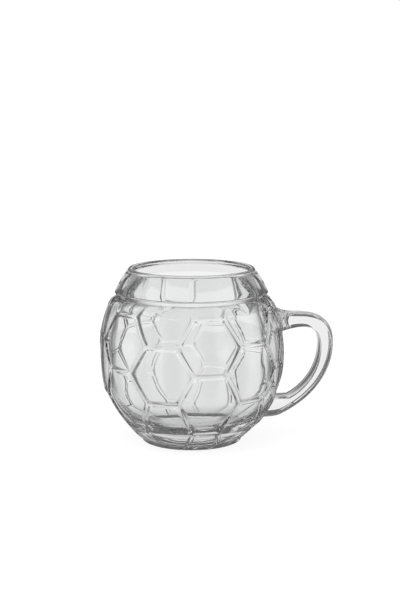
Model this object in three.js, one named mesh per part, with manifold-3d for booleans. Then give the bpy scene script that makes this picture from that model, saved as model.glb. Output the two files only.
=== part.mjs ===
// Glass beer mug with a ball shaped bowl, pressed with a raised honeycomb, and a welded loop handle.
// Millimetres, +Z up. The origin is the middle of the flat underside, on the bowl's axis.
// The handle points along +X.

import * as THREE from 'three';
import { mergeVertices } from 'three/addons/utils/BufferGeometryUtils.js';
import Module from 'manifold-3d';

const wasm = await Module();
wasm.setup();

// Bowl, overall
const bowlHeight = 106.2;
const mouthRadius = 38.8;
const lipThickness = 3;

// Collar between the lip and the groove
const collarRadius = 46.6;
const collarHeight = 14.8;
const collarWall = 4.4;
const collarBulge = 0.6;
const collarEdgeRound = 0.4;

// Groove under the collar
const grooveDepth = 2.1;
const grooveHeight = 1.7;

// Ball, measured to the crest of its ribs. Its full round would reach past the collar's foot
// and below the underside by the two reaches.
const ballRadius = 56.5;
const ballMiddle = 52.7;
const ballUpperReach = 32.8;
const ballLowerReach = 8;
const ballFullness = 2.04;
const shoulderHeight = 6.2;
const shoulderDepth = 6.5;
const wallThickness = 3.9;
const baseThickness = 7;
const cavityFloorFullness = 2.8;

// Foot
const footRadius = 30.6;
const footHeight = 2.3;
const footEdgeRound = 0.5;
const footFlare = 2.6;

// Honeycomb on the ball: flat topped cells in columns, every second column half a cell lower
const columnCount = 12;
const firstColumnAngle = -82.1;
const rowShares = [0.94, 0.782, 0.625, 0.472, 0.306, 0.1215, -0.063];
const edgeHalfShare = 1 / 3;
const ribWidth = 3.4;
const ribHeight = 0.6;
const ribFlankShare = 0.5;
const ribFlankDropShare = 0.28;
const knotRise = 0.25;
const cornerRound = 1.3;
const panelFlatness = 0.4;
const panelRingShares = [0.25, 0.6];
const facetLength = 7;
const levelTolerance = 0.001;
const angleDecimals = 4;

// Handle: a bevelled slab with a curved outline that rises and swells where it is welded to the ball.
// Its lengths along the arm and the pads are measured out from the ball.
const handleWidth = 16;
const handleEdge = 1.7;
const handleReach = 87.1;
const handleTop = 78.5;
const handleBottom = 14.3;
const outermostHeight = 58.4;
const fingerSideDrop = 2;
const armThickness = 8.9;
const loopThickness = 8.9;
const armLength = 7.7;
const archLength = 11;
const rootRise = 2;
const upperRootHeight = 13.7;
const lowerRootHeight = 11.5;
const padLength = 3.1;
const heelInset = 1.8;
const rootFlare = 2;
const rootSink = 12;
const upperBendShares = [0.93, 0.4];
const lowerBendShares = [0.36, 0.68, 0.24];
const fingerBendShares = [0.33, 0.1, 0.43];
const archBendShares = [0.79, 0.59];
const archRootShare = 0.45;
const handleJointGap = 0.3;

// Roundness of the faceted surfaces
const lathePoints = 60;
const arcSteps = 4;
const edgeSteps = 2;
const outlineSteps = 9;
const collarSteps = 4;
const cavitySteps = 9;

const degrees = Math.PI / 180;
const collarFoot = bowlHeight - collarHeight;
const grooveRadius = collarRadius - grooveDepth;
const grooveFloor = collarFoot - grooveHeight;

// Radius of the ball at a height, to the rib crests
function ballProfile(height) {
  const above = height > ballMiddle;
  const reach = above ? collarFoot + ballUpperReach - ballMiddle : ballMiddle + ballLowerReach;
  const rise = Math.abs(height - ballMiddle) / reach;
  const round = ballRadius * (1 - rise ** ballFullness) ** (1 / ballFullness);
  const intoShoulder = (height - grooveFloor + shoulderHeight) / shoulderHeight;
  if (intoShoulder <= 0) return round;
  return round - shoulderDepth * (1 - Math.sqrt(1 - Math.min(intoShoulder, 1) ** 2));
}

// A place on the ball, sunk by depth below the crest line
function ballPoint(angle, height, depth) {
  const radius = ballProfile(height) - depth;
  return new THREE.Vector3(radius * Math.cos(angle), radius * Math.sin(angle), height);
}

const rowHeights = rowShares.map((share) => share * bowlHeight);
const columnPitch = (2 * Math.PI) / columnCount;
const edgeHalfAngle = columnPitch * edgeHalfShare;
const sideAngle = columnPitch - edgeHalfAngle;
const ballTop = grooveFloor;
const ballBottom = footHeight;

// Corners of one cell as angle and height, anticlockwise seen from outside
function cellCorners(column, row) {
  const centre = firstColumnAngle * degrees + column * columnPitch;
  const at = (angle, line) => ({ angle: centre + angle, height: rowHeights[line] });
  const above = Math.max(row - 1, 0);
  const below = Math.min(row + 1, rowHeights.length - 1);
  const corners = [at(-edgeHalfAngle, below), at(edgeHalfAngle, below)];
  if (row > 0 && row < rowHeights.length - 1) corners.push(at(sideAngle, row));
  if (row === rowHeights.length - 1) corners.splice(0, 2, at(-sideAngle, row), at(sideAngle, row));
  if (row === 0) corners.push(at(sideAngle, row), at(-sideAngle, row));
  else corners.push(at(edgeHalfAngle, above), at(-edgeHalfAngle, above));
  if (row > 0 && row < rowHeights.length - 1) corners.push(at(-sideAngle, row));
  return corners;
}

// The part of a cell on one side of a level; corners made by the cut are marked open
function cutAtLevel(corners, level, keepBelow) {
  const inside = (corner) => (keepBelow ? corner.height <= level : corner.height >= level);
  const kept = [];
  corners.forEach((corner, i) => {
    const next = corners[(i + 1) % corners.length];
    if (inside(corner)) kept.push({ ...corner, open: inside(next) && corner.open });
    if (inside(corner) === inside(next)) return;
    const share = (level - corner.height) / (next.height - corner.height);
    const angle = corner.angle + (next.angle - corner.angle) * share;
    kept.push({ angle, height: level, open: inside(corner) });
  });
  return kept;
}

// The corner moved inwards from both of its edges by a distance along the surface
function insetCorner(before, corner, after, distance) {
  const place = ballPoint(corner.angle, corner.height, 0);
  const back = ballPoint(before.angle, before.height, 0).sub(place).normalize();
  const ahead = ballPoint(after.angle, after.height, 0).sub(place).normalize();
  const sine = back.clone().cross(ahead).length();
  place.addScaledVector(back.add(ahead), distance / sine);
  return { angle: corner.angle + angleBetween(corner.angle, place), height: place.z };
}

function angleBetween(angle, place) {
  const turned = Math.atan2(place.y, place.x) - angle;
  return turned - 2 * Math.PI * Math.round(turned / (2 * Math.PI));
}

// Points along every edge of a cell, each edge cut into steps set by its real length
function alongEdges(ring, corners) {
  const points = [];
  ring.forEach((corner, i) => {
    const next = ring[(i + 1) % ring.length];
    const from = corners[i];
    const to = corners[(i + 1) % corners.length];
    const length = ballPoint(from.angle, from.height, 0).distanceTo(ballPoint(to.angle, to.height, 0));
    const steps = Math.max(1, Math.round(length / facetLength));
    for (let step = 0; step < steps; step += 1) {
      const share = step / steps;
      points.push({
        angle: corner.angle + (next.angle - corner.angle) * share,
        height: corner.height + (next.height - corner.height) * share,
        open: Boolean(from.open) && step > 0,
        knot: step === 0 && !from.open && !corners[(i + corners.length - 1) % corners.length].open,
      });
    }
  });
  return points;
}

// One cell: a rounded rib along its edges and a nearly flat panel inside, as rings of places
function cellRings(corners) {
  const count = corners.length;
  const inset = (distance) => corners.map((corner, i) =>
    insetCorner(corners[(i + count - 1) % count], corner, corners[(i + 1) % count], distance));
  const crest = alongEdges(corners, corners).map((point) =>
    ballPoint(point.angle, point.height, point.open ? ribHeight : point.knot ? -knotRise : 0));
  const flank = alongEdges(inset((ribWidth / 2) * ribFlankShare), corners).map((point) =>
    ballPoint(point.angle, point.height, point.open ? ribHeight : ribHeight * ribFlankDropShare));
  const border = alongEdges(inset(ribWidth / 2), corners);
  const middle = {
    angle: corners.reduce((sum, corner) => sum + corner.angle, 0) / count,
    height: corners.reduce((sum, corner) => sum + corner.height, 0) / count,
  };
  const centre = ballPoint(middle.angle, middle.height, ribHeight + panelFlatness);
  const panelEdge = border.map((point) => {
    const place = ballPoint(point.angle, point.height, ribHeight);
    const pull = point.knot ? cornerRound / place.distanceTo(centre) : 0;
    const angle = point.angle + (middle.angle - point.angle) * pull;
    return ballPoint(angle, point.height + (middle.height - point.height) * pull, ribHeight);
  });
  const panels = panelRingShares.map((share) => border.map((point) => {
    const angle = point.angle + (middle.angle - point.angle) * share;
    const height = point.height + (middle.height - point.height) * share;
    return ballPoint(angle, height, ribHeight + panelFlatness * (1 - (1 - share) ** 2));
  }));
  return { rings: [crest, flank, panelEdge, ...panels], centre };
}

// Triangles between two rings of as many points, and a fan from the last ring to one point
function bandBetween(triangles, lower, upper) {
  lower.forEach((point, i) => {
    const j = (i + 1) % lower.length;
    triangles.push(point, lower[j], upper[j], point, upper[j], upper[i]);
  });
}

function fanTo(triangles, ring, centre) {
  ring.forEach((point, i) => triangles.push(point, ring[(i + 1) % ring.length], centre));
}

// The whole ball with its honeycomb, closed by flat discs at the groove and at the foot
function ballGeometry(growth) {
  const triangles = [];
  const rims = new Map([[ballTop, []], [ballBottom, []]]);
  for (let column = 0; column < columnCount; column += 1) {
    for (let row = column % 2; row < rowHeights.length; row += 2) {
      const belowTop = cutAtLevel(cellCorners(column, row), ballTop, true);
      const corners = cutAtLevel(belowTop, ballBottom, false);
      const { rings, centre } = cellRings(corners);
      for (let i = 1; i < rings.length; i += 1) bandBetween(triangles, rings[i - 1], rings[i]);
      fanTo(triangles, rings.at(-1), centre);
      rims.forEach((rim, level) => {
        rim.push(...rings[0].filter((point) => Math.abs(point.z - level) < levelTolerance));
      });
    }
  }
  closeRim(triangles, rims.get(ballTop), false);
  closeRim(triangles, rims.get(ballBottom), true);
  const grown = triangles.map((point) => {
    const outward = Math.hypot(point.x, point.y);
    const scale = outward > 0 ? (outward + growth) / outward : 1;
    return new THREE.Vector3(point.x * scale, point.y * scale, point.z);
  });
  return new THREE.BufferGeometry().setFromPoints(grown);
}

// A flat disc across the ring of points where the ball is cut off
function closeRim(triangles, points, facingDown) {
  const angleOf = (point) => Math.atan2(point.y, point.x);
  const byAngle = new Map(points.map((point) => [angleOf(point).toFixed(angleDecimals), point]));
  const ring = [...byAngle.values()].sort((a, b) => angleOf(a) - angleOf(b));
  if (facingDown) ring.reverse();
  fanTo(triangles, ring, new THREE.Vector3(0, 0, ring[0].z));
}

// Points of a rounded corner or lip, as radius and height
function arc(radius, height, round, fromAngle, toAngle, steps) {
  return Array.from({ length: steps + 1 }, (_, i) => {
    const angle = (fromAngle + ((toAngle - fromAngle) * i) / steps) * degrees;
    return new THREE.Vector2(radius + round * Math.cos(angle), height + round * Math.sin(angle));
  });
}

// Collar and lip above the groove, turned about the axis, reaching down into the ball
function collarGeometry() {
  const lipRound = lipThickness / 2;
  const lipHeight = bowlHeight - lipRound;
  const lipMiddle = mouthRadius - lipRound;
  const edge = new THREE.Vector2(collarRadius, collarFoot + collarEdgeRound);
  const lip = new THREE.Vector2(mouthRadius, lipHeight);
  const outward = new THREE.Vector2(lip.y - edge.y, edge.x - lip.x).setLength(2 * collarBulge);
  const belly = new THREE.QuadraticBezierCurve(edge, edge.clone().lerp(lip, 1 / 2).add(outward), lip);
  return new THREE.LatheGeometry([
    new THREE.Vector2(0, ballMiddle),
    new THREE.Vector2(grooveRadius - grooveDepth, ballMiddle),
    new THREE.Vector2(grooveRadius, grooveFloor - grooveHeight),
    new THREE.Vector2(grooveRadius, collarFoot - collarEdgeRound),
    ...arc(collarRadius - collarEdgeRound, edge.y, collarEdgeRound, -90, 0, edgeSteps),
    ...belly.getPoints(collarSteps).slice(1, -1),
    ...arc(lipMiddle, lipHeight, lipRound, 0, 90, arcSteps),
    new THREE.Vector2(0, bowlHeight),
  ], lathePoints);
}

// Foot under the ball, with a rounded lower edge and a flare up into the ball
function footGeometry() {
  return new THREE.LatheGeometry([
    new THREE.Vector2(0, 0),
    ...arc(footRadius - footEdgeRound, footEdgeRound, footEdgeRound, -90, 0, edgeSteps),
    new THREE.Vector2(footRadius, footHeight),
    new THREE.Vector2(footRadius, footHeight + footFlare),
    new THREE.Vector2(0, footHeight + footFlare),
  ], lathePoints);
}

// Inside of the mug: lip, collar cone and ball, one wall inside the outer form
function cavityGeometry() {
  const lipRound = lipThickness / 2;
  const innerLip = mouthRadius - lipThickness;
  const coneFoot = new THREE.Vector2(collarRadius - collarWall, collarFoot);
  const innerRadius = ballRadius - wallThickness;
  const floorReach = ballMiddle - baseThickness;
  const footShare = (1 - (coneFoot.x / innerRadius) ** ballFullness) ** (1 / ballFullness);
  const topReach = (coneFoot.y - ballMiddle) / footShare;
  const wall = [];
  for (let i = 0; i < cavitySteps; i += 1) {
    const share = Math.sin((i / cavitySteps) * 90 * degrees);
    const floor = innerRadius * share ** (2 / cavityFloorFullness);
    const drop = (1 - share ** 2) ** (1 / cavityFloorFullness);
    wall.push(new THREE.Vector2(floor, ballMiddle - floorReach * drop));
  }
  for (let i = 0; i < cavitySteps; i += 1) {
    const rise = footShare * (i / cavitySteps);
    const radius = innerRadius * (1 - rise ** ballFullness) ** (1 / ballFullness);
    wall.push(new THREE.Vector2(radius, ballMiddle + topReach * rise));
  }
  return new THREE.LatheGeometry([
    ...wall,
    coneFoot,
    ...arc(mouthRadius - lipRound, bowlHeight - lipRound, lipRound, 180, 90, arcSteps),
    new THREE.Vector2(innerLip + lipRound, bowlHeight + lipRound),
    new THREE.Vector2(0, bowlHeight + lipRound),
  ], lathePoints);
}

// Handle outline in the plane of the axis: the outer curve down, then the finger side back up
function handleOutline() {
  const share = (from, to, part) => from + (to - from) * part;
  const rootEnd = ballRadius - rootSink;
  const armEnd = ballRadius + armLength;
  const archEnd = ballRadius + archLength;
  const padEnd = ballRadius + padLength;
  const heelEnd = ballRadius - heelInset;
  const innerReach = handleReach - loopThickness;
  const innerMiddle = outermostHeight - fingerSideDrop;
  const innerTop = handleTop - armThickness;
  const padTop = handleBottom + lowerRootHeight;
  const rootTop = handleTop + rootRise;
  const rootFloor = rootTop - upperRootHeight;
  const outline = new THREE.Shape();
  outline.moveTo(rootEnd, rootTop);
  outline.lineTo(ballRadius - padLength, rootTop);
  outline.quadraticCurveTo(ballRadius, handleTop, armEnd, handleTop);
  outline.bezierCurveTo(
    share(armEnd, handleReach, upperBendShares[0]), handleTop,
    handleReach, share(outermostHeight, handleTop, upperBendShares[1]),
    handleReach, outermostHeight,
  );
  outline.bezierCurveTo(
    handleReach, share(outermostHeight, handleBottom, lowerBendShares[0]),
    share(heelEnd, handleReach, lowerBendShares[1]),
    share(handleBottom, outermostHeight, lowerBendShares[2]),
    heelEnd, handleBottom,
  );
  outline.lineTo(rootEnd, handleBottom);
  outline.lineTo(rootEnd, padTop);
  outline.lineTo(padEnd, padTop);
  outline.bezierCurveTo(
    share(padEnd, innerReach, fingerBendShares[0]), share(padTop, innerMiddle, fingerBendShares[1]),
    innerReach, share(padTop, innerMiddle, fingerBendShares[2]),
    innerReach, innerMiddle,
  );
  outline.bezierCurveTo(
    innerReach, share(innerMiddle, innerTop, archBendShares[1]),
    share(archEnd, innerReach, archBendShares[0]), innerTop,
    archEnd, innerTop,
  );
  outline.quadraticCurveTo(share(ballRadius, archEnd, archRootShare), innerTop, ballRadius, rootFloor);
  outline.lineTo(rootEnd, rootFloor);
  return outline;
}

// Oval swelling where the arm is welded to the ball, turned about the arm's own middle line
function swellingGeometry() {
  const spread = handleWidth / 2 + rootFlare;
  const spreadEnd = ballRadius - padLength;
  const flare = new THREE.QuadraticBezierCurve(
    new THREE.Vector2(spread, spreadEnd),
    new THREE.Vector2(handleWidth / 2, ballRadius),
    new THREE.Vector2(handleWidth / 2 - handleEdge, ballRadius + armLength),
  );
  const swelling = new THREE.LatheGeometry([
    new THREE.Vector2(0, ballRadius - rootSink),
    new THREE.Vector2(spread, ballRadius - rootSink),
    ...flare.getPoints(arcSteps),
    new THREE.Vector2(0, ballRadius + armLength),
  ], lathePoints / 2);
  swelling.rotateZ(-Math.PI / 2);
  swelling.scale(1, 1, upperRootHeight / (2 * spread));
  swelling.translate(0, 0, handleTop + rootRise - upperRootHeight / 2);
  return swelling;
}

function handleGeometry() {
  const slab = new THREE.ExtrudeGeometry(handleOutline(), {
    depth: handleWidth - 2 * handleEdge,
    bevelThickness: handleEdge,
    bevelSize: handleEdge,
    bevelOffset: -handleEdge,
    bevelSegments: edgeSteps,
    curveSegments: outlineSteps,
  });
  slab.translate(0, 0, handleEdge - handleWidth / 2);
  slab.rotateX(Math.PI / 2);
  return slab;
}

// Turns a three.js geometry into a solid that can be joined and cut
function solidOf(geometry) {
  const bare = geometry.clone();
  bare.deleteAttribute('normal');
  bare.deleteAttribute('uv');
  const merged = mergeVertices(bare);
  const vertProperties = new Float32Array(merged.attributes.position.array);
  const triVerts = new Uint32Array(merged.index.array);
  return new wasm.Manifold(new wasm.Mesh({ numProp: 3, vertProperties, triVerts }));
}

function geometryOf(solid) {
  const mesh = solid.getMesh();
  const geometry = new THREE.BufferGeometry();
  geometry.setAttribute('position', new THREE.BufferAttribute(mesh.vertProperties, 3));
  geometry.setIndex(new THREE.BufferAttribute(mesh.triVerts, 1));
  geometry.computeVertexNormals();
  return geometry;
}

// A lathe profile drawn about Y, stood up so that its axis is Z
function standing(lathe) {
  return lathe.rotateX(Math.PI / 2);
}

const bowlSolid = solidOf(ballGeometry(0))
  .add(solidOf(standing(collarGeometry())))
  .add(solidOf(standing(footGeometry())))
  .subtract(solidOf(standing(cavityGeometry())));

const handleSolid = solidOf(handleGeometry())
  .add(solidOf(swellingGeometry()))
  .subtract(solidOf(ballGeometry(handleJointGap)));

const clearGlass = { color: 0xeef2f1, roughness: 0.03, metalness: 0, transparent: true, opacity: 0.4 };

const bowl = new THREE.Mesh(geometryOf(bowlSolid), new THREE.MeshStandardMaterial(clearGlass));
bowl.name = 'bowl';

const handle = new THREE.Mesh(geometryOf(handleSolid), new THREE.MeshStandardMaterial(clearGlass));
handle.name = 'handle';

const mug = new THREE.Group();
mug.add(bowl, handle);

export default mug;
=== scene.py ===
"""Clear glass beer mug: ball shaped bowl pressed with a raised honeycomb, collar and welded loop handle.

The bowl's honeycomb is one cell, modelled flat, copied over a sheet and wrapped round the ball. The collar,
the lip, the inside and the foot are grown from the ball's two rims along profiles. The handle is a section
extruded along its loop. Everything is in metres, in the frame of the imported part.
"""
import math

import bpy
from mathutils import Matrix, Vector


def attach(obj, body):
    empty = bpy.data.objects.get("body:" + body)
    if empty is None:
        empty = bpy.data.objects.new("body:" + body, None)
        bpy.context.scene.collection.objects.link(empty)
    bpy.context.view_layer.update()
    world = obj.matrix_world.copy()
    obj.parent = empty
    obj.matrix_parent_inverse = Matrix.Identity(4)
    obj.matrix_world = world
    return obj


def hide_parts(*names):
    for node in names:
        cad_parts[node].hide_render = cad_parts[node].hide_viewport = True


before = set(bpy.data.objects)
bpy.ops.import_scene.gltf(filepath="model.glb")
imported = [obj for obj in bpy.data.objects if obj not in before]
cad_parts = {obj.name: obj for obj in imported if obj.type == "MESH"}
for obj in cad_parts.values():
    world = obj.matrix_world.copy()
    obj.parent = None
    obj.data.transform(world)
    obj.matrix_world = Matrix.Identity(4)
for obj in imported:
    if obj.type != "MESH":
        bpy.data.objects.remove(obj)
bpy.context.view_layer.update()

MM = 0.001

# Bowl, overall
BOWL_HEIGHT = 106.2 * MM
MOUTH_RADIUS = 38.8 * MM
LIP_THICKNESS = 3.0 * MM

# Collar and groove
COLLAR_RADIUS = 46.6 * MM
COLLAR_FOOT = 91.4 * MM
COLLAR_WALL = 4.4 * MM
COLLAR_BULGE = 0.6 * MM
COLLAR_EDGE_ROUND = 0.3 * MM
GROOVE_RADIUS = 44.6 * MM
GROOVE_FLOOR = 89.7 * MM

# Ball, to the crest of its ribs
BALL_RADIUS = 56.5 * MM
BALL_MIDDLE = 52.7 * MM
BALL_UPPER_REACH = 71.5 * MM
BALL_LOWER_REACH = 60.7 * MM
BALL_FULLNESS = 2.04
SHOULDER_HEIGHT = 6.2 * MM
SHOULDER_DEPTH = 6.5 * MM
WALL_THICKNESS = 3.9 * MM
BASE_THICKNESS = 7.0 * MM
CAVITY_FLOOR_FULLNESS = 2.8
SHOULDER_CUT = 89.27 * MM
SLOPE_STEP = 0.02 * MM

# Foot
FOOT_RADIUS = 30.6 * MM
FOOT_HEIGHT = 2.3 * MM
FOOT_EDGE_ROUND = 0.5 * MM
FOOT_LEDGE_ROUND = 0.5 * MM
UNDERSIDE_SHARES = (0.92, 0.6, 0)

# Steps along the profiles of the round parts
EDGE_ROUND_STEPS = 3
COLLAR_STEPS = 16
LIP_STEPS = 12
COLLAR_INSIDE_STEPS = 6
UPPER_CAVITY_STEPS = 15
LOWER_CAVITY_STEPS = 26
FOOT_LEDGE_STEPS = 4
FOOT_EDGE_STEPS = 6

# Honeycomb
COLUMN_COUNT = 12
FIRST_COLUMN_ANGLE = math.radians(-82.1)
ROW_SHARES = (0.94, 0.782, 0.625, 0.472, 0.306, 0.1215, -0.063)
ROW_HEIGHTS = [BOWL_HEIGHT * share for share in ROW_SHARES]
COLUMN_PITCH = 2 * math.pi / COLUMN_COUNT
CELL_SIDE = BALL_RADIUS * COLUMN_PITCH * 2 / 3
CELL_TURN = math.radians(30)
CELL_HALF_HEIGHT = CELL_SIDE * math.cos(CELL_TURN)
SIDE_CUTS = 12
RING_DEPTHS = [depth * MM for depth in
               (0.35, 0.7, 1.0, 1.3, 1.6, 1.9, 2.2, 2.6, 3.2, 4.2, 5.8, 8.0, 10.6, 13.6)]
RIB_TOP_HALF = 0.3 * MM
RIB_HALF_WIDTH = 2.2 * MM
RIB_HEIGHT = 0.5 * MM
PANEL_FLATNESS = 0.45 * MM
CORNER_SOFTNESS = 0.7 * MM
KNOT_RISE = 0.3 * MM
KNOT_RADIUS = 1.0 * MM
RELIEF_FADE = (0.3, 0.8)

# Handle
HANDLE_REACH = 87.1 * MM
HANDLE_TOP = 78.5 * MM
HANDLE_BOTTOM = 14.3 * MM
OUTERMOST_HEIGHT = 58.4 * MM
FINGER_SIDE_DROP = 2.0 * MM
ARM_THICKNESS = 8.9 * MM
LOOP_THICKNESS = 8.9 * MM
ARM_LENGTH = 7.7 * MM
ARCH_LENGTH = 11.0 * MM
ROOT_RISE = 2.0 * MM
UPPER_ROOT_HEIGHT = 13.7 * MM
LOWER_ROOT_HEIGHT = 11.5 * MM
PAD_LENGTH = 3.1 * MM
HEEL_INSET = 1.8 * MM
WELD_DROP = 2.0 * MM
ROOT_SINK = 8.0 * MM
JOINT_GAP = 0.3 * MM

# Where the handle's curves pull, as shares of the way between their ends
ARM_INNER_SHARES = (0.29, 0.5)
BEND_OUTER_SHARES = (0.93, 0.4)
BEND_INNER_SHARES = (0.79, 0.59)
DROP_OUTER_SHARES = (0.36, 0.68, 0.24)
DROP_INNER_SHARES = (0.43, 0.33, 0.1)
ROOT_STEPS = 10
ARM_STEPS = 44
BEND_STEPS = 24
DROP_STEPS = 36
PAD_STEPS = 8

# Handle's section: how far its outer and finger sides are domed, and the round of its four edges
HANDLE_WIDTH = 16.0 * MM
OUTER_BULGE = 2.0 * MM
FINGER_BULGE = 0.3 * MM
HANDLE_EDGE = 0.5 * MM
DOME_STEPS = 8
EDGE_STEPS = 3
FACE_STEPS = 3

# Weld of the handle's arm: its flat face ends in a curved step to a narrower, rippled neck
FACE_END = 58.2 * MM
FACE_END_CURVE = 3.6 * MM
NECK_MIDDLE = 73.8 * MM
NECK_HALF_HEIGHT = 5.6 * MM
STEP_LENGTH = 1.1 * MM
STEP_SHARE = 0.16
RIPPLE_PITCH = 2.1 * MM
RIPPLE_SHARE = 0.028
FLARE_START = 56.6 * MM
FLARE_LENGTH = 3.4 * MM
FLARE_SHARE = 0.3

MERGE_DISTANCE = 0.01 * MM
SMOOTH_ANGLE = math.radians(38)

# Glass
GLASS_IOR = 1.5
# The bowl's tint is darker than the handle's: partly the glass's own faint tint, partly painted shade that
# greys what is seen through the bowl
BOWL_TINT_AND_SHADE = (0.961, 0.965, 0.963)
HANDLE_TINT = (0.985, 0.988, 0.987)
WAVE_SCALE = 60
BOWL_WAVE_DEPTH = 0.02 * MM
HANDLE_WAVE_DEPTH = 0.03 * MM
SMUDGE_SCALE = 35
SMUDGE_START = 0.5
SMUDGE_FULL = 0.75
SMUDGE_ROUGHNESS = 0.01

# Camera: where it stands round the mug's axis, and where the axis point it is measured to lies in the picture
PICTURE_WIDTH = 400
PICTURE_HEIGHT = 600
FOCAL_PIXELS = 1300
AIM_HEIGHT = 54.68 * MM
AIM_PIXEL_X = 191.5
AIM_PIXEL_Y = 350.34
CAMERA_DISTANCE = 797 * MM
CAMERA_ELEVATION = math.radians(11.66)
CAMERA_LONGITUDE = math.radians(-93.5)
SENSOR = 36.0


def smooth_step(low, high, value):
    """0 below the low value, 1 above the high one, eased between them."""
    share = min(max((value - low) / (high - low), 0.0), 1.0)
    return share * share * (3 - 2 * share)


# Working in Blender's modes

def take(piece):
    """Makes one piece the only selected one, in object mode."""
    if bpy.context.object and bpy.context.object.mode != "OBJECT":
        bpy.ops.object.mode_set(mode="OBJECT")
    bpy.ops.object.select_all(action="DESELECT")
    piece.select_set(True)
    bpy.context.view_layer.objects.active = piece


def edit(piece, mode="VERT"):
    """Opens a piece in edit mode with all of it selected."""
    take(piece)
    bpy.ops.object.mode_set(mode="EDIT")
    bpy.ops.mesh.select_mode(type=mode)
    bpy.ops.mesh.select_all(action="SELECT")


def leave():
    bpy.ops.object.mode_set(mode="OBJECT")


def merge_doubles():
    bpy.ops.mesh.select_all(action="SELECT")
    bpy.ops.mesh.remove_doubles(threshold=MERGE_DISTANCE)


def join(pieces, name):
    """Makes one object of several and gives it a name."""
    take(pieces[0])
    for piece in pieces[1:]:
        piece.select_set(True)
    bpy.ops.object.join()
    pieces[0].name = name
    return pieces[0]


def finish_surface(piece):
    """Closes seams, turns faces outward and smooths all but sharp edges."""
    edit(piece)
    merge_doubles()
    bpy.ops.mesh.normals_make_consistent(inside=False)
    leave()
    bpy.ops.object.shade_smooth_by_angle(angle=SMOOTH_ANGLE)


# Honeycomb

def ball_radius_at(height):
    """Distance of the ribs' crests from the axis."""
    reach = BALL_UPPER_REACH if height > BALL_MIDDLE else BALL_LOWER_REACH
    rise = abs(height - BALL_MIDDLE) / reach
    radius = BALL_RADIUS * (1 - rise ** BALL_FULLNESS) ** (1 / BALL_FULLNESS)
    into = shoulder_share(height)
    return radius - SHOULDER_DEPTH * (1 - math.sqrt(1 - into ** 2))


def shoulder_share(height):
    """0 on the ball, growing to 1 where its shoulder meets the groove."""
    return min(max((height - GROOVE_FLOOR + SHOULDER_HEIGHT) / SHOULDER_HEIGHT, 0.0), 1.0)


def ball_slope_at(height):
    """How fast the ball's radius grows with height."""
    return (ball_radius_at(height + SLOPE_STEP) - ball_radius_at(height - SLOPE_STEP)) / (2 * SLOPE_STEP)


def row_height(row):
    """Height of a place on the sheet, counted in rows from the top."""
    line = min(max(int(row), 0), len(ROW_HEIGHTS) - 2)
    return ROW_HEIGHTS[line] + (ROW_HEIGHTS[line + 1] - ROW_HEIGHTS[line]) * (row - line)


def flat_cell():
    """One hexagon with flat top and bottom, ringed so that a rib can be raised along its sides."""
    bpy.ops.mesh.primitive_circle_add(vertices=6, radius=CELL_SIDE)
    cell = bpy.context.object
    edit(cell, "EDGE")
    bpy.ops.transform.rotate(value=CELL_TURN, orient_axis="Z", center_override=(0, 0, 0))
    bpy.ops.mesh.subdivide(number_cuts=SIDE_CUTS)
    size = 1.0
    for depth in RING_DEPTHS:
        new_size = 1 - depth / CELL_HALF_HEIGHT
        bpy.ops.mesh.extrude_edges_move()
        ratio = new_size / size
        bpy.ops.transform.resize(value=(ratio, ratio, 1), center_override=(0, 0, 0))
        size = new_size
    bpy.ops.mesh.extrude_edges_move()
    bpy.ops.mesh.merge(type="CENTER")
    leave()
    return cell


def flat_sheet():
    """The cells laid side by side: along X round the ball, along Y from the groove down to the foot."""
    cell = flat_cell()
    cells = []
    for column in range(COLUMN_COUNT):
        for row in range(column % 2, len(ROW_HEIGHTS), 2):
            copy = cell.copy()
            copy.data = cell.data.copy()
            bpy.context.scene.collection.objects.link(copy)
            copy.location = (column * COLUMN_PITCH * BALL_RADIUS, -row * CELL_HALF_HEIGHT, 0)
            cells.append(copy)
    bpy.data.objects.remove(cell)
    sheet = join(cells, "honeycomb")
    bpy.ops.object.transform_apply(location=True, rotation=True, scale=True)
    edit(sheet)
    merge_doubles()
    last_row = len(ROW_HEIGHTS) - 1
    bpy.ops.mesh.bisect(plane_co=(0, 0, 0), plane_no=(0, 1, 0), clear_outer=True)
    bpy.ops.mesh.select_all(action="SELECT")
    bpy.ops.mesh.bisect(plane_co=(0, -last_row * CELL_HALF_HEIGHT, 0), plane_no=(0, 1, 0), clear_inner=True)
    leave()
    return sheet


def cell_of(x, y):
    """Column and row of the cell that a place on the flat sheet lies in."""
    best = None
    nearest = math.inf
    guess = round(x / (COLUMN_PITCH * BALL_RADIUS))
    for column in (guess - 1, guess, guess + 1):
        offset = column % 2
        row = offset + 2 * round((-y / CELL_HALF_HEIGHT - offset) / 2)
        away = math.hypot(x - column * COLUMN_PITCH * BALL_RADIUS, y + row * CELL_HALF_HEIGHT)
        if away < nearest:
            nearest = away
            best = (column, row)
    return best


def cell_corners(column, row):
    """Corners of a cell as angle and height, going round."""
    centre = column * COLUMN_PITCH
    narrow = COLUMN_PITCH / 3
    corners = ((-narrow, 1), (narrow, 1), (2 * narrow, 0), (narrow, -1), (-narrow, -1), (-2 * narrow, 0))
    return [(centre + across, row_height(row + down)) for across, down in corners]


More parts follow.
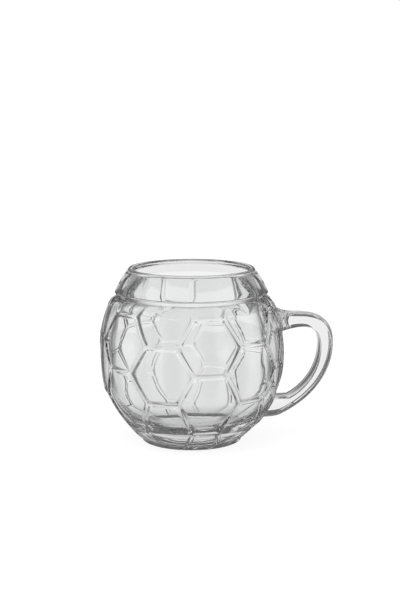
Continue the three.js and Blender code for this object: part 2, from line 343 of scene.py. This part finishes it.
def relief(angle, height, corners, radius, slope):
    """How far the surface lies below the crest line, from the real distances to the cell's sides."""
    stretch = math.sqrt(1 + slope ** 2)
    places = [((a - angle) * radius, (h - height) * stretch) for a, h in corners]
    nearness = 0.0
    for (x0, y0), (x1, y1) in zip(places, places[1:] + places[:1]):
        side = abs(x0 * y1 - x1 * y0) / math.hypot(x1 - x0, y1 - y0)
        nearness += math.exp(-side / CORNER_SOFTNESS)
    distance = -CORNER_SOFTNESS * math.log(nearness)
    knot = min(math.hypot(x, y) for x, y in places)
    hollow = RIB_HEIGHT * smooth_step(RIB_TOP_HALF, RIB_HALF_WIDTH, distance)
    inward = min(max(distance / CELL_HALF_HEIGHT, 0.0), 1.0)
    hollow += PANEL_FLATNESS * (1 - (1 - inward) ** 2)
    fade = 1 - smooth_step(*RELIEF_FADE, shoulder_share(height))
    return (hollow - KNOT_RISE * math.exp(-(knot / KNOT_RADIUS) ** 2)) * fade


def wrap(sheet):
    """Bends the flat sheet round the ball and raises its ribs."""
    for vertex in sheet.data.vertices:
        x, y, _ = vertex.co
        height = row_height(-y / CELL_HALF_HEIGHT)
        angle = x / BALL_RADIUS
        radius = ball_radius_at(height)
        slope = ball_slope_at(height)
        depth = relief(angle, height, cell_corners(*cell_of(x, y)), radius, slope)
        tilt = math.sqrt(1 + slope ** 2)
        radius -= depth / tilt
        height += depth * slope / tilt
        turned = FIRST_COLUMN_ANGLE + angle
        vertex.co = (radius * math.cos(turned), radius * math.sin(turned), height)


def ball():
    """The honeycomb ball, open at the groove and at the foot."""
    sheet = flat_sheet()
    wrap(sheet)
    edit(sheet)
    merge_doubles()
    bpy.ops.mesh.bisect(plane_co=(0, 0, SHOULDER_CUT), plane_no=(0, 0, 1), clear_outer=True,
                        threshold=MERGE_DISTANCE)
    bpy.ops.mesh.select_all(action="SELECT")
    bpy.ops.mesh.bisect(plane_co=(0, 0, FOOT_HEIGHT), plane_no=(0, 0, 1), clear_inner=True,
                        threshold=MERGE_DISTANCE)
    leave()
    return sheet


# Profiles of the round parts

def bezier(points, t):
    """A place on a curve of two, three or four control points."""
    while len(points) > 1:
        points = [tuple(a + (b - a) * t for a, b in zip(p, q)) for p, q in zip(points, points[1:])]
    return points[0]


def curve(points, steps):
    """Evenly counted places along a curve, both ends included."""
    return [bezier(points, i / steps) for i in range(steps + 1)]


def arc(centre_x, centre_z, radius, start, end, steps):
    """Points of a round as distance from the axis and height, angles in degrees."""
    angles = [math.radians(start + (end - start) * i / steps) for i in range(steps + 1)]
    return [(centre_x + radius * math.cos(a), centre_z + radius * math.sin(a)) for a in angles]


def upper_profile():
    """From the groove's floor up the collar, over the lip and down the inside to the middle of its floor."""
    lip_round = LIP_THICKNESS / 2
    lip_height = BOWL_HEIGHT - lip_round
    edge_height = COLLAR_FOOT + COLLAR_EDGE_ROUND
    points = [(GROOVE_RADIUS, SHOULDER_CUT), (GROOVE_RADIUS, (SHOULDER_CUT + COLLAR_FOOT) / 2)]
    points += [(GROOVE_RADIUS, COLLAR_FOOT)]
    points += arc(COLLAR_RADIUS - COLLAR_EDGE_ROUND, edge_height, COLLAR_EDGE_ROUND, -90, 0, EDGE_ROUND_STEPS)
    rise, run = lip_height - edge_height, COLLAR_RADIUS - MOUTH_RADIUS
    outward = 2 * COLLAR_BULGE / math.hypot(rise, run)
    belly = ((COLLAR_RADIUS + MOUTH_RADIUS) / 2 + rise * outward,
             (edge_height + lip_height) / 2 + run * outward)
    points += curve([(COLLAR_RADIUS, edge_height), belly, (MOUTH_RADIUS, lip_height)], COLLAR_STEPS)[1:-1]
    points += arc(MOUTH_RADIUS - lip_round, lip_height, lip_round, 0, 180, LIP_STEPS)
    cone_foot = (COLLAR_RADIUS - COLLAR_WALL, COLLAR_FOOT)
    points += curve([points[-1], cone_foot], COLLAR_INSIDE_STEPS)[1:-1]
    inner = BALL_RADIUS - WALL_THICKNESS
    foot_share = (1 - (cone_foot[0] / inner) ** BALL_FULLNESS) ** (1 / BALL_FULLNESS)
    top_reach = (cone_foot[1] - BALL_MIDDLE) / foot_share
    for i in range(UPPER_CAVITY_STEPS):
        share = foot_share * (1 - i / UPPER_CAVITY_STEPS)
        points.append((inner * (1 - share ** BALL_FULLNESS) ** (1 / BALL_FULLNESS),
                       BALL_MIDDLE + top_reach * share))
    for i in range(LOWER_CAVITY_STEPS):
        share = math.sin(math.pi / 2 * (1 - i / LOWER_CAVITY_STEPS))
        drop = (1 - share ** 2) ** (1 / CAVITY_FLOOR_FULLNESS)
        points.append((inner * share ** (2 / CAVITY_FLOOR_FULLNESS),
                       BALL_MIDDLE - (BALL_MIDDLE - BASE_THICKNESS) * drop))
    points.append((0, BASE_THICKNESS))
    return points


def lower_profile():
    """From the ball's lower edge round the foot to the middle of the underside."""
    ledge = FOOT_HEIGHT - FOOT_LEDGE_ROUND
    points = [(FOOT_RADIUS + FOOT_LEDGE_ROUND, FOOT_HEIGHT)]
    points += arc(FOOT_RADIUS + FOOT_LEDGE_ROUND, ledge, FOOT_LEDGE_ROUND, 90, 180, FOOT_LEDGE_STEPS)[1:]
    points += arc(FOOT_RADIUS - FOOT_EDGE_ROUND, FOOT_EDGE_ROUND, FOOT_EDGE_ROUND, 0, -90, FOOT_EDGE_STEPS)
    inner = points[-1][0]
    points += [(inner * share, 0) for share in UNDERSIDE_SHARES]
    return points


def rim_of(piece, height, name):
    """A copy of the open rim that a piece has at a height, as a ring of edges."""
    edit(piece, "EDGE")
    bpy.ops.mesh.select_all(action="DESELECT")
    bpy.ops.mesh.select_non_manifold(extend=False, use_wire=False, use_boundary=True, use_multi_face=False,
                                     use_non_contiguous=False, use_verts=False)
    leave()
    vertices = piece.data.vertices
    for edge in piece.data.edges:
        edge.select = edge.select and abs(vertices[edge.vertices[0]].co.z - height) < MM
    bpy.ops.object.mode_set(mode="EDIT")
    bpy.ops.mesh.duplicate()
    bpy.ops.mesh.separate(type="SELECTED")
    leave()
    rim = next(o for o in bpy.context.selected_objects if o is not piece)
    rim.name = name
    return rim


def grow_rim(rim, points):
    """Extrudes a ring of edges along a profile, given as distance from the axis and height, to the axis."""
    edit(rim, "EDGE")
    bpy.ops.mesh.extrude_edges_move()
    leave()
    radius, height = points[0]
    for vertex in rim.data.vertices:
        if vertex.select:
            turn = math.atan2(vertex.co.y, vertex.co.x)
            vertex.co = (radius * math.cos(turn), radius * math.sin(turn), height)
    bpy.ops.object.mode_set(mode="EDIT")
    for new_radius, new_height in points[1:]:
        bpy.ops.mesh.extrude_edges_move(TRANSFORM_OT_translate={"value": (0, 0, new_height - height)})
        if new_radius == 0:
            bpy.ops.mesh.merge(type="CENTER")
            break
        ratio = new_radius / radius
        bpy.ops.transform.resize(value=(ratio, ratio, 1), center_override=(0, 0, new_height))
        radius, height = new_radius, new_height
    leave()


def make_bowl(outside):
    """The ball with its collar, lip and inside grown from its upper rim, and its foot from its lower one."""
    inside = rim_of(outside, SHOULDER_CUT, "inside")
    foot = rim_of(outside, FOOT_HEIGHT, "foot")
    grow_rim(inside, upper_profile())
    grow_rim(foot, lower_profile())
    bowl = join([outside, inside, foot], "glass_bowl")
    finish_surface(bowl)
    return bowl


# Handle

def handle_stations():
    """Pairs of outer and finger side places along the handle, from its upper root to its lower one."""
    root = BALL_RADIUS - ROOT_SINK
    arm_end = BALL_RADIUS + ARM_LENGTH
    arch_end = BALL_RADIUS + ARCH_LENGTH
    pad_end = BALL_RADIUS + PAD_LENGTH
    root_end = BALL_RADIUS - PAD_LENGTH
    heel_end = BALL_RADIUS - HEEL_INSET
    inner_reach = HANDLE_REACH - LOOP_THICKNESS
    inner_middle = OUTERMOST_HEIGHT - FINGER_SIDE_DROP
    inner_top = HANDLE_TOP - ARM_THICKNESS
    pad_top = HANDLE_BOTTOM + LOWER_ROOT_HEIGHT
    root_top = HANDLE_TOP + ROOT_RISE
    root_floor = root_top - UPPER_ROOT_HEIGHT

    def between(a, b, share):
        return a + (b - a) * share

    root_outer = [(root, root_top), (root_end, root_top)]
    root_inner = [(root, root_floor), (root_end, root_floor)]
    arm_outer = [(root_end, root_top), (BALL_RADIUS, HANDLE_TOP), (arm_end, HANDLE_TOP)]
    first, second = ARM_INNER_SHARES
    arm_inner = [(root_end, root_floor), (between(root_end, arch_end, first), root_floor),
                 (between(root_end, arch_end, second), inner_top), (arch_end, inner_top)]
    across, down = BEND_OUTER_SHARES
    bend_outer = [(arm_end, HANDLE_TOP), (between(arm_end, HANDLE_REACH, across), HANDLE_TOP),
                  (HANDLE_REACH, between(OUTERMOST_HEIGHT, HANDLE_TOP, down)),
                  (HANDLE_REACH, OUTERMOST_HEIGHT)]
    across, down = BEND_INNER_SHARES
    bend_inner = [(arch_end, inner_top), (between(arch_end, inner_reach, across), inner_top),
                  (inner_reach, between(inner_middle, inner_top, down)), (inner_reach, inner_middle)]
    down, across, low = DROP_OUTER_SHARES
    drop_outer = [(HANDLE_REACH, OUTERMOST_HEIGHT),
                  (HANDLE_REACH, between(OUTERMOST_HEIGHT, HANDLE_BOTTOM, down)),
                  (between(heel_end, HANDLE_REACH, across), between(HANDLE_BOTTOM, OUTERMOST_HEIGHT, low)),
                  (heel_end, HANDLE_BOTTOM)]
    down, across, low = DROP_INNER_SHARES
    drop_inner = [(inner_reach, inner_middle), (inner_reach, between(pad_top, inner_middle, down)),
                  (between(pad_end, inner_reach, across), between(pad_top, inner_middle, low)),
                  (pad_end, pad_top)]
    pad_outer = [(heel_end, HANDLE_BOTTOM), (root_end, HANDLE_BOTTOM - WELD_DROP),
                 (root - ROOT_SINK, HANDLE_BOTTOM - WELD_DROP)]
    pad_inner = [(pad_end, pad_top), (root - ROOT_SINK, pad_top)]
    stations = []
    for outer, inner, steps in ((root_outer, root_inner, ROOT_STEPS), (arm_outer, arm_inner, ARM_STEPS),
                                (bend_outer, bend_inner, BEND_STEPS), (drop_outer, drop_inner, DROP_STEPS),
                                (pad_outer, pad_inner, PAD_STEPS)):
        stations += list(zip(curve(outer, steps), curve(inner, steps)))[:-1]
    stations.append((pad_outer[-1], pad_inner[-1]))
    return stations


def neck_width(distance, height):
    """How wide the handle is at its weld, as a share of its full width."""
    bow = min(abs(height - NECK_MIDDLE) / NECK_HALF_HEIGHT, 1.0)
    inward = FACE_END + FACE_END_CURVE * bow ** 2 - distance
    if inward <= 0 or height < OUTERMOST_HEIGHT:
        return 1.0
    stepped = smooth_step(0, STEP_LENGTH, inward)
    wave = 1 - math.cos(2 * math.pi * inward / RIPPLE_PITCH)
    flare = max((FLARE_START - distance) / FLARE_LENGTH, 0.0)
    return 1 + (RIPPLE_SHARE * wave - STEP_SHARE) * stepped + FLARE_SHARE * flare ** 2


def handle_section():
    """Once around the loop's section: flat front and back, domed outside and on the finger side."""
    half = HANDLE_WIDTH / 2
    landing = half - HANDLE_EDGE

    def dome(y, bulge):
        return LOOP_THICKNESS / 2 - bulge * (y / half) ** 2

    def quarter(bulge):
        """From the middle of a dome to the middle of the flat face beside it."""
        shoulder = dome(half, bulge)
        crown = [(dome(y, bulge), y) for y in (landing * k / DOME_STEPS for k in range(DOME_STEPS))]
        edge = curve([(dome(landing, bulge), landing), (shoulder, half), (shoulder - HANDLE_EDGE, half)],
                     EDGE_STEPS)
        face = curve([(shoulder - HANDLE_EDGE, half), (0, half)], FACE_STEPS)
        return crown + edge[:-1] + face

    outer = quarter(OUTER_BULGE)
    finger = [(-x, y) for x, y in quarter(FINGER_BULGE)]
    back = outer + finger[-2::-1]
    return back + [(x, -y) for x, y in back[-2:0:-1]]


def make_handle(ball_copy):
    """The section extruded step by step along the loop, then cut to sit on the ball."""
    stations = handle_stations()
    (ox, oz), (ix, iz) = stations[0]
    thickness = math.hypot(ox - ix, oz - iz)
    section = handle_section()
    bpy.ops.mesh.primitive_circle_add(vertices=len(section), radius=HANDLE_WIDTH, fill_type="NGON")
    handle = bpy.context.object
    handle.name = "loop_handle"
    for vertex, (x, y) in zip(handle.data.vertices, section):
        vertex.co = (x * thickness / LOOP_THICKNESS, y, 0)
    edit(handle, "FACE")
    heading = math.atan2(oz - iz, ox - ix)
    centre = Vector(((ox + ix) / 2, 0, (oz + iz) / 2))
    bpy.ops.transform.rotate(value=heading, orient_axis="Y", center_override=(0, 0, 0))
    bpy.ops.transform.translate(value=centre)
    for (ox, oz), (ix, iz) in stations[1:]:
        new_centre = Vector(((ox + ix) / 2, 0, (oz + iz) / 2))
        new_thickness = math.hypot(ox - ix, oz - iz)
        new_heading = math.atan2(oz - iz, ox - ix)
        bpy.ops.mesh.extrude_region_move(TRANSFORM_OT_translate={"value": new_centre - centre})
        axis = (math.cos(heading), 0, math.sin(heading))
        across = (-math.sin(heading), 0, math.cos(heading))
        bpy.ops.transform.resize(value=(new_thickness / thickness, 1, 1), center_override=new_centre,
                                 orient_type="GLOBAL", orient_matrix=(axis, (0, 1, 0), across),
                                 orient_matrix_type="GLOBAL")
        turn = math.remainder(new_heading - heading, 2 * math.pi)
        bpy.ops.transform.rotate(value=turn, orient_axis="Y", center_override=new_centre)
        centre, thickness, heading = new_centre, new_thickness, new_heading
    bpy.ops.mesh.select_all(action="SELECT")
    bpy.ops.mesh.normals_make_consistent(inside=False)
    leave()
    for vertex in handle.data.vertices:
        vertex.co.y *= neck_width(vertex.co.x, vertex.co.z)
    cut = handle.modifiers.new("seat on the ball", "BOOLEAN")
    cut.operation = "DIFFERENCE"
    cut.object = ball_copy
    take(handle)
    bpy.ops.object.modifier_apply(modifier=cut.name)
    finish_surface(handle)
    return handle


def cutting_ball(outside):
    """A closed copy of the ball, one joint gap larger, that the handle is cut with."""
    copy = outside.copy()
    copy.data = outside.data.copy()
    bpy.context.scene.collection.objects.link(copy)
    edit(copy, "EDGE")
    bpy.ops.mesh.normals_make_consistent(inside=False)
    bpy.ops.transform.shrink_fatten(value=JOINT_GAP)
    bpy.ops.mesh.select_all(action="DESELECT")
    bpy.ops.mesh.select_non_manifold(extend=False, use_wire=False, use_boundary=True, use_multi_face=False,
                                     use_non_contiguous=False, use_verts=False)
    bpy.ops.mesh.fill_holes(sides=0)
    bpy.ops.mesh.select_all(action="SELECT")
    bpy.ops.mesh.normals_make_consistent(inside=False)
    leave()
    return copy


# Materials

def node(tree, kind, **values):
    """Adds a node to a tree and sets its properties."""
    made = tree.nodes.new(kind)
    for name, value in values.items():
        setattr(made, name, value)
    return made


def feed(tree, socket, value):
    """Sets a socket to a number, or links it to another node's output."""
    if isinstance(value, (int, float)):
        socket.default_value = value
    else:
        tree.links.new(value, socket)


def math_node(tree, operation, first, second):
    made = node(tree, "ShaderNodeMath", operation=operation)
    feed(tree, made.inputs[0], first)
    feed(tree, made.inputs[1], second)
    return made.outputs[0]


def ramp_value(tree, value, from_low, from_high, to_low, to_high):
    """A value eased from one range to another."""
    made = node(tree, "ShaderNodeMapRange", interpolation_type="SMOOTHSTEP")
    tree.links.new(value, made.inputs["Value"])
    made.inputs["From Min"].default_value = from_low
    made.inputs["From Max"].default_value = from_high
    made.inputs["To Min"].default_value = to_low
    made.inputs["To Max"].default_value = to_high
    return made.outputs["Result"]


def mix_levels(tree, share, first, second):
    """A level that goes from the first to the second as the share goes from 0 to 1."""
    made = node(tree, "ShaderNodeMix", data_type="FLOAT")
    feed(tree, made.inputs[0], share)
    feed(tree, made.inputs[2], first)
    feed(tree, made.inputs[3], second)
    return made.outputs[0]


def pressed_surface_group():
    """Faint unevenness of pressed glass: a height for a bump and a roughness that varies with handling."""
    tree = bpy.data.node_groups.new("pressed_surface", "ShaderNodeTree")
    wave_size = tree.interface.new_socket("Wave Scale", in_out="INPUT", socket_type="NodeSocketFloat")
    wave_size.default_value = WAVE_SCALE
    smudge = tree.interface.new_socket("Smudge Roughness", in_out="INPUT", socket_type="NodeSocketFloat")
    smudge.default_value = SMUDGE_ROUGHNESS
    tree.interface.new_socket("Height", in_out="OUTPUT", socket_type="NodeSocketFloat")
    tree.interface.new_socket("Roughness", in_out="OUTPUT", socket_type="NodeSocketFloat")
    inside = node(tree, "NodeGroupInput")
    outside = node(tree, "NodeGroupOutput")
    place = node(tree, "ShaderNodeTexCoord")
    wave = node(tree, "ShaderNodeTexNoise", noise_dimensions="3D")
    wave.inputs["Detail"].default_value = 1.0
    tree.links.new(place.outputs["Object"], wave.inputs["Vector"])
    tree.links.new(inside.outputs["Wave Scale"], wave.inputs["Scale"])
    smears = node(tree, "ShaderNodeTexNoise", noise_dimensions="3D")
    smears.inputs["Scale"].default_value = SMUDGE_SCALE
    smears.inputs["Detail"].default_value = 2.0
    tree.links.new(place.outputs["Object"], smears.inputs["Vector"])
    worn = ramp_value(tree, smears.outputs["Fac"], SMUDGE_START, SMUDGE_FULL, 0.0, 1.0)
    rough = math_node(tree, "MULTIPLY", worn, inside.outputs["Smudge Roughness"])
    tree.links.new(wave.outputs["Fac"], outside.inputs["Height"])
    tree.links.new(rough, outside.inputs["Roughness"])
    return tree


def glass_material(name, tint, wave_depth, group):
    """Clear glass whose surface waves a little and is faintly smudged in places."""
    material = bpy.data.materials.new(name)
    material.use_nodes = True
    tree = material.node_tree
    shader = tree.nodes["Principled BSDF"]
    # the tint is the glass's own colour; the bowl's darker tint also holds painted shade
    shader.inputs["Base Color"].default_value = (*tint, 1)
    shader.inputs["Metallic"].default_value = 0
    shader.inputs["IOR"].default_value = GLASS_IOR
    shader.inputs["Transmission Weight"].default_value = 1
    surface = node(tree, "ShaderNodeGroup", node_tree=group)
    surface.inputs["Wave Scale"].default_value = WAVE_SCALE
    surface.inputs["Smudge Roughness"].default_value = SMUDGE_ROUGHNESS
    bump = node(tree, "ShaderNodeBump")
    bump.inputs["Strength"].default_value = 1
    bump.inputs["Distance"].default_value = wave_depth
    tree.links.new(surface.outputs["Height"], bump.inputs["Height"])
    tree.links.new(bump.outputs["Normal"], shader.inputs["Normal"])
    tree.links.new(surface.outputs["Roughness"], shader.inputs["Roughness"])
    return material


def wear(piece, material, node_name):
    """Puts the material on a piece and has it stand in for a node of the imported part."""
    piece.data.materials.clear()
    piece.data.materials.append(material)
    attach(piece, "root")
    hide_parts(node_name)


# Studio

# What the glass sees round the horizon, alike on all four sides: bright straight behind the mug, dark beside
# that, and bright again halfway to the next side. Each pair is an angle from straight behind, in degrees, and
# a level.
HALFWAY = 45
AROUND = ((0, 0.97), (4, 1.0), (9, 1.0), (14, 0.5), (21, 0.17), (32, 0.1), (39, 0.9), (HALFWAY, 0.95))

# Its levels overhead and underneath, and the sines of the angles where these start and where they are full
SEEN_ABOVE = 0.12
ABOVE_START = 0.03
ABOVE_FULL = 0.16
SEEN_BELOW = 0.68
BELOW_START = 0.40
BELOW_FULL = 0.68

# The floor as the glass sees it: how much of the horizon's light it leaves, by distance from the mug. The
# dimmer levels near the mug and under its foot are a painted shadow of the mug, seen only through the glass
PAINTED_SHADOW_NEAR = 0.89
NEAR_REACH = 0.48
FAR_START = 0.54
PAINTED_SHADOW_UNDER = 0.9
UNDER_REACH = 0.03
UNDER_END = 0.075

# The floor as the camera sees it: a plain pale level and a share of lamp light that keeps the shadow
FLOOR_GLOW = 0.9
FLOOR_LIT = 0.16
FLOOR_REACH = 5
FLOOR_SIDES = 96
FLOOR_DROP = 0.2 * MM
SURROUND = 0.85

LAMP_PLACE = Vector((-0.35, -0.5, 1.2))
LAMP_TARGET = Vector((0, 0, 0.05))
LAMP_SIZE = 0.9
LAMP_POWER = 6
LIGHT_BOUNCES = 24
GLOSSY_BOUNCES = 12


def seen_in_glass(tree):
    """1 for rays that left the glass, by reflection or by passing through."""
    path = node(tree, "ShaderNodeLightPath")
    both = math_node(tree, "MAXIMUM", path.outputs["Is Glossy Ray"], path.outputs["Is Transmission Ray"])
    return path, both


def make_world():
    """White for the camera, and the studio's levels for rays that left the glass."""
    world = bpy.data.worlds.new("studio")
    bpy.context.scene.world = world
    world.use_nodes = True
    tree = world.node_tree
    background = tree.nodes["Background"]
    place = node(tree, "ShaderNodeTexCoord")
    split = node(tree, "ShaderNodeSeparateXYZ")
    tree.links.new(place.outputs["Generated"], split.inputs[0])
    x, y, z = split.outputs
    turn = math_node(tree, "SUBTRACT", math_node(tree, "ARCTAN2", y, x), CAMERA_LONGITUDE + math.pi)
    folded = math_node(tree, "PINGPONG", turn, math.radians(HALFWAY))
    around = node(tree, "ShaderNodeValToRGB")
    tree.links.new(math_node(tree, "DIVIDE", folded, math.radians(HALFWAY)), around.inputs["Fac"])
    around.color_ramp.interpolation = "EASE"
    stops = around.color_ramp.elements
    while len(stops) < len(AROUND):
        stops.new(0.5)
    for stop, (angle, value) in zip(stops, AROUND):
        stop.position = angle / HALFWAY
        stop.color = (value, value, value, 1)
    above = ramp_value(tree, z, ABOVE_START, ABOVE_FULL, 0.0, 1.0)
    below = ramp_value(tree, z, -BELOW_FULL, -BELOW_START, 1.0, 0.0)
    under_ceiling = mix_levels(tree, above, around.outputs["Color"], SEEN_ABOVE)
    studio = mix_levels(tree, below, under_ceiling, SEEN_BELOW)
    path, both = seen_in_glass(tree)
    plain = math_node(tree, "MAXIMUM", path.outputs["Is Camera Ray"], SURROUND)
    level = mix_levels(tree, both, plain, studio)
    tree.links.new(level, background.inputs["Color"])
    background.inputs["Strength"].default_value = 1


def make_floor():
    """A pale floor for the camera, which rays that left the glass pass through, dimmed near the mug and under
    its foot by a painted shadow.
    """
    bpy.ops.mesh.primitive_circle_add(vertices=FLOOR_SIDES, radius=FLOOR_REACH, fill_type="NGON",
                                      location=(0, 0, -FLOOR_DROP))
    floor = bpy.context.object
    floor.name = "floor"
    material = bpy.data.materials.new("pale_floor")
    material.use_nodes = True
    tree = material.node_tree
    tree.nodes.clear()
    out = node(tree, "ShaderNodeOutputMaterial")
    place = node(tree, "ShaderNodeTexCoord")
    away = node(tree, "ShaderNodeVectorMath", operation="LENGTH")
    tree.links.new(place.outputs["Object"], away.inputs[0])
    distance = away.outputs["Value"]
    # painted shadow seen through the glass: dimmer within NEAR_REACH of the mug, and darker again right under
    # its foot
    painted_soft_shadow = ramp_value(tree, distance, NEAR_REACH, FAR_START, PAINTED_SHADOW_NEAR, 1.0)
    painted_foot_shadow = ramp_value(tree, distance, UNDER_REACH, UNDER_END, PAINTED_SHADOW_UNDER, 1.0)
    through = math_node(tree, "MULTIPLY", painted_soft_shadow, painted_foot_shadow)
    path, both = seen_in_glass(tree)
    window = node(tree, "ShaderNodeBsdfTransparent")
    tree.links.new(through, window.inputs["Color"])
    glow = node(tree, "ShaderNodeEmission")
    glow.inputs["Color"].default_value = (FLOOR_GLOW, FLOOR_GLOW, FLOOR_GLOW, 1)
    lit = node(tree, "ShaderNodeBsdfDiffuse")
    lit.inputs["Color"].default_value = (FLOOR_LIT, FLOOR_LIT, FLOOR_LIT, 1)
    plain = node(tree, "ShaderNodeAddShader")
    tree.links.new(glow.outputs[0], plain.inputs[0])
    tree.links.new(lit.outputs[0], plain.inputs[1])
    mixed = node(tree, "ShaderNodeMixShader")
    tree.links.new(both, mixed.inputs[0])
    tree.links.new(plain.outputs[0], mixed.inputs[1])
    tree.links.new(window.outputs[0], mixed.inputs[2])
    tree.links.new(mixed.outputs[0], out.inputs["Surface"])
    floor.data.materials.append(material)


def make_lamp():
    """One soft light from above the camera's left, for the floor's shadow."""
    lamp = bpy.data.lights.new("soft_box", "AREA")
    lamp.shape = "DISK"
    lamp.size = LAMP_SIZE
    lamp.energy = LAMP_POWER
    holder = bpy.data.objects.new("soft_box", lamp)
    bpy.context.scene.collection.objects.link(holder)
    holder.location = LAMP_PLACE
    holder.rotation_euler = (LAMP_TARGET - LAMP_PLACE).to_track_quat("-Z", "Y").to_euler()
    holder.visible_glossy = False
    holder.visible_transmission = False


def make_camera():
    """Stands and aims the camera as the photograph's own stood."""
    data = bpy.data.cameras.new("photo_view")
    data.sensor_fit = "AUTO"
    data.sensor_width = SENSOR
    data.lens = SENSOR * FOCAL_PIXELS / PICTURE_HEIGHT
    camera = bpy.data.objects.new("photo_view", data)
    bpy.context.scene.collection.objects.link(camera)
    level = CAMERA_DISTANCE * math.cos(CAMERA_ELEVATION)
    camera.location = (level * math.cos(CAMERA_LONGITUDE), level * math.sin(CAMERA_LONGITUDE),
                       AIM_HEIGHT + CAMERA_DISTANCE * math.sin(CAMERA_ELEVATION))
    pitch = math.atan((AIM_PIXEL_Y - PICTURE_HEIGHT / 2) / FOCAL_PIXELS) - CAMERA_ELEVATION
    yaw = math.atan((PICTURE_WIDTH / 2 - AIM_PIXEL_X) / (FOCAL_PIXELS * math.cos(pitch)))
    camera.rotation_euler = (math.radians(90) + pitch, 0, CAMERA_LONGITUDE + math.radians(90) - yaw)
    bpy.context.scene.camera = camera


make_camera()
outside = ball()
handle_cutter = cutting_ball(outside)
bowl = make_bowl(outside)
handle = make_handle(handle_cutter)
bpy.data.objects.remove(handle_cutter)

surface = pressed_surface_group()
# the bowl's darker tint is partly painted shade
wear(bowl, glass_material("clear_bowl_glass", BOWL_TINT_AND_SHADE, BOWL_WAVE_DEPTH, surface), "bowl")
wear(handle, glass_material("clear_handle_glass", HANDLE_TINT, HANDLE_WAVE_DEPTH, surface), "handle")

make_world()
make_floor()
make_lamp()
scene = bpy.context.scene
scene.view_settings.view_transform = "Standard"
scene.cycles.max_bounces = LIGHT_BOUNCES
scene.cycles.transmission_bounces = LIGHT_BOUNCES
scene.cycles.glossy_bounces = GLOSSY_BOUNCES
